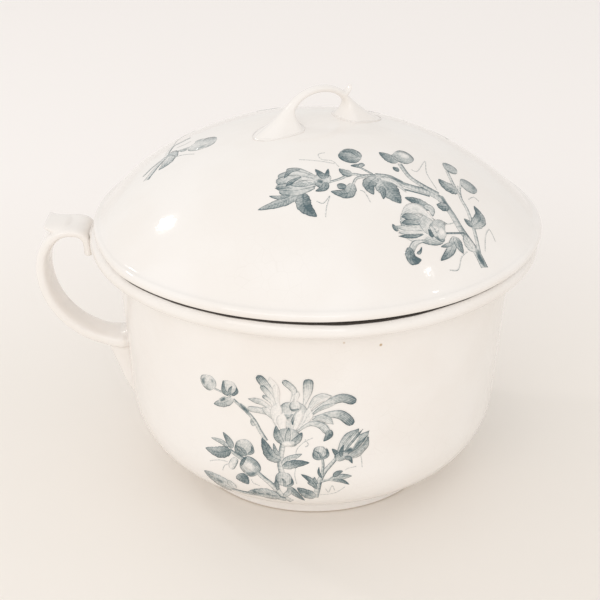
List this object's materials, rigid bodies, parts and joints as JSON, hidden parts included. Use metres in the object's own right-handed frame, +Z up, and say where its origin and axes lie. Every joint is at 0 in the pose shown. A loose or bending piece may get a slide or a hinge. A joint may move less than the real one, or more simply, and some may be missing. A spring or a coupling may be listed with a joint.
{
  "type": "lidded chamber pot",
  "caption": "Round earthenware chamber pot with a rolled rim, a foot ring and a hooked side handle, under a domed lift-off lid with an arched handle.",
  "frame": {"origin": "centre of the foot ring, in the plane that rests on the table", "axes": "+Z up along the pot's axis, the side handle points to -X, and +Y points away from the printed front"},
  "size_m": [0.2585, 0.23, 0.2055],
  "materials": {
    "glaze": "glossy clear glaze over warm white earthenware",
    "slip": "fired slip under the glaze",
    "print": "slate-blue underglaze floral print under the same clear glaze"
  },
  "bodies": {
    "pot": {"pot_body": "glaze", "pot_handle": "glaze", "handle_upper_slip": "slip", "handle_lower_slip": "slip"},
    "lid": {"lid": "glaze", "lid_handle": "glaze", "lid_handle_front_slip": "slip", "lid_handle_back_slip": "slip"}
  },
  "joints": [
    {"name": "lid_lift", "type": "slide", "parent": "pot", "child": "lid", "axis": [0, 0, 1], "range_m": [0, 0.16]}
  ]
}
